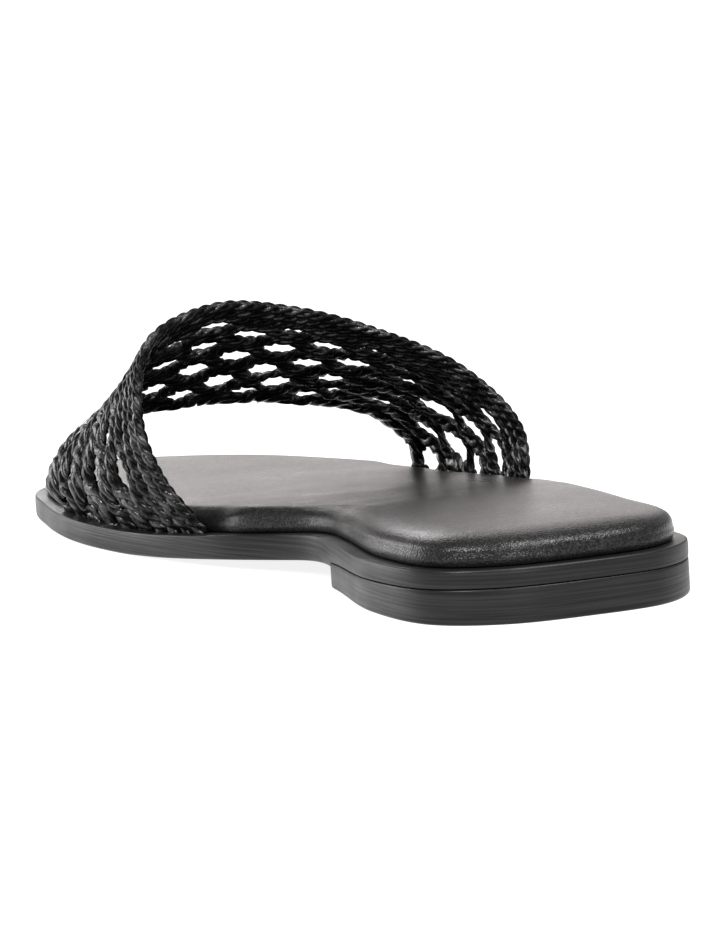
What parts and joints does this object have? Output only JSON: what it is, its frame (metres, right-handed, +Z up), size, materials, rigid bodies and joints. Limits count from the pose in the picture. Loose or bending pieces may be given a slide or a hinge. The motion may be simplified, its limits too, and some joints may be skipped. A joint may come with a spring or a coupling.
{
  "type": "slide sandal",
  "caption": "Flat slide sandal: one wide band of twisted cords braided into an open net, over a padded footbed on a thin rubber sole with a low heel.",
  "frame": {"origin": "on the ground, under the middle of the box round the whole shoe", "axes": "+Y to the toe, +X to the outer side of the right foot, +Z up from the ground"},
  "size_m": [0.097, 0.2554, 0.0601],
  "materials": {
    "sole_rubber": "moulded, satin, fine lines along the side",
    "footbed_leather": "coated, fine pebble grain, semi-gloss",
    "cord_leather": "smooth coated cord, glossy"
  },
  "bodies": {
    "root": {"outsole": "sole_rubber", "heel": "sole_rubber", "insole": "footbed_leather", "upper": "cord_leather"}
  },
  "joints": []
}
